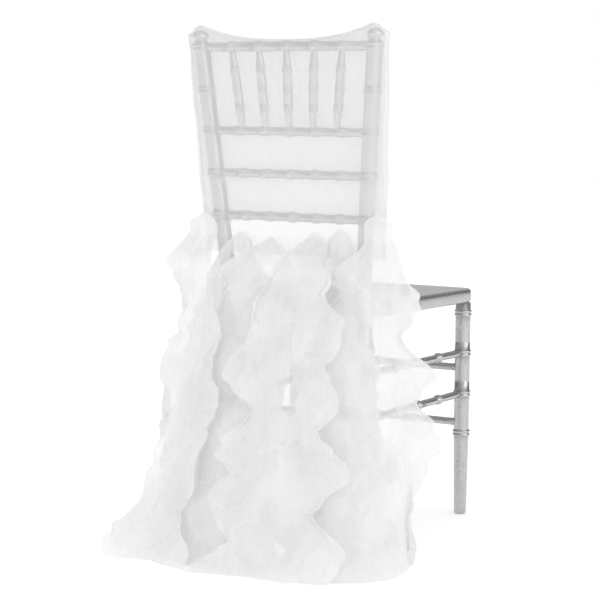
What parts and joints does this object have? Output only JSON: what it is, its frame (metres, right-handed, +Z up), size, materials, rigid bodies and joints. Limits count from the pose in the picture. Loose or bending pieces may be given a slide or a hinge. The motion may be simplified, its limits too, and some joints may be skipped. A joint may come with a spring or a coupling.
{
  "type": "curled-flounce chair back cover on a ballroom chair",
  "caption": "Sheer organza sleeve over a slim ballroom chair's back, with columns of curled flounces that fall from below the sleeve to a flared hem on the floor.",
  "frame": {"origin": "on the floor, under the middle of the whole part's bounding box", "axes": "+Z up, +Y the way the sitter faces, +X to the sitter's right; the flounces hang behind the chair, on the -Y side"},
  "size_m": [0.5368, 0.6542, 0.9273],
  "materials": {
    "silver_paint": "satin silver paint with a fine metallic grain",
    "white_organza": "sheer crisp white organza with a faint sheen"
  },
  "bodies": {
    "root": {"sleeve_front_panel": "white_organza", "sleeve_back_panel": "white_organza", "flounce_1": "white_organza", "flounce_2": "white_organza", "flounce_3": "white_organza", "flounce_4": "white_organza", "flounce_5": "white_organza", "flounce_6": "white_organza", "seat": "silver_paint", "post_left": "silver_paint", "post_right": "silver_paint", "front_leg_left": "silver_paint", "front_leg_right": "silver_paint", "rail_1": "silver_paint", "rail_2": "silver_paint", "rail_3": "silver_paint", "rail_4": "silver_paint", "spindle_1": "silver_paint", "spindle_2": "silver_paint", "spindle_3": "silver_paint", "spindle_4": "silver_paint", "spindle_5": "silver_paint", "side_stretcher_upper_left": "silver_paint", "side_stretcher_upper_right": "silver_paint", "side_stretcher_lower_left": "silver_paint", "side_stretcher_lower_right": "silver_paint", "front_stretcher_upper": "silver_paint", "front_stretcher_lower": "silver_paint", "rear_stretcher_upper": "silver_paint", "rear_stretcher_lower": "silver_paint"}
  },
  "joints": []
}
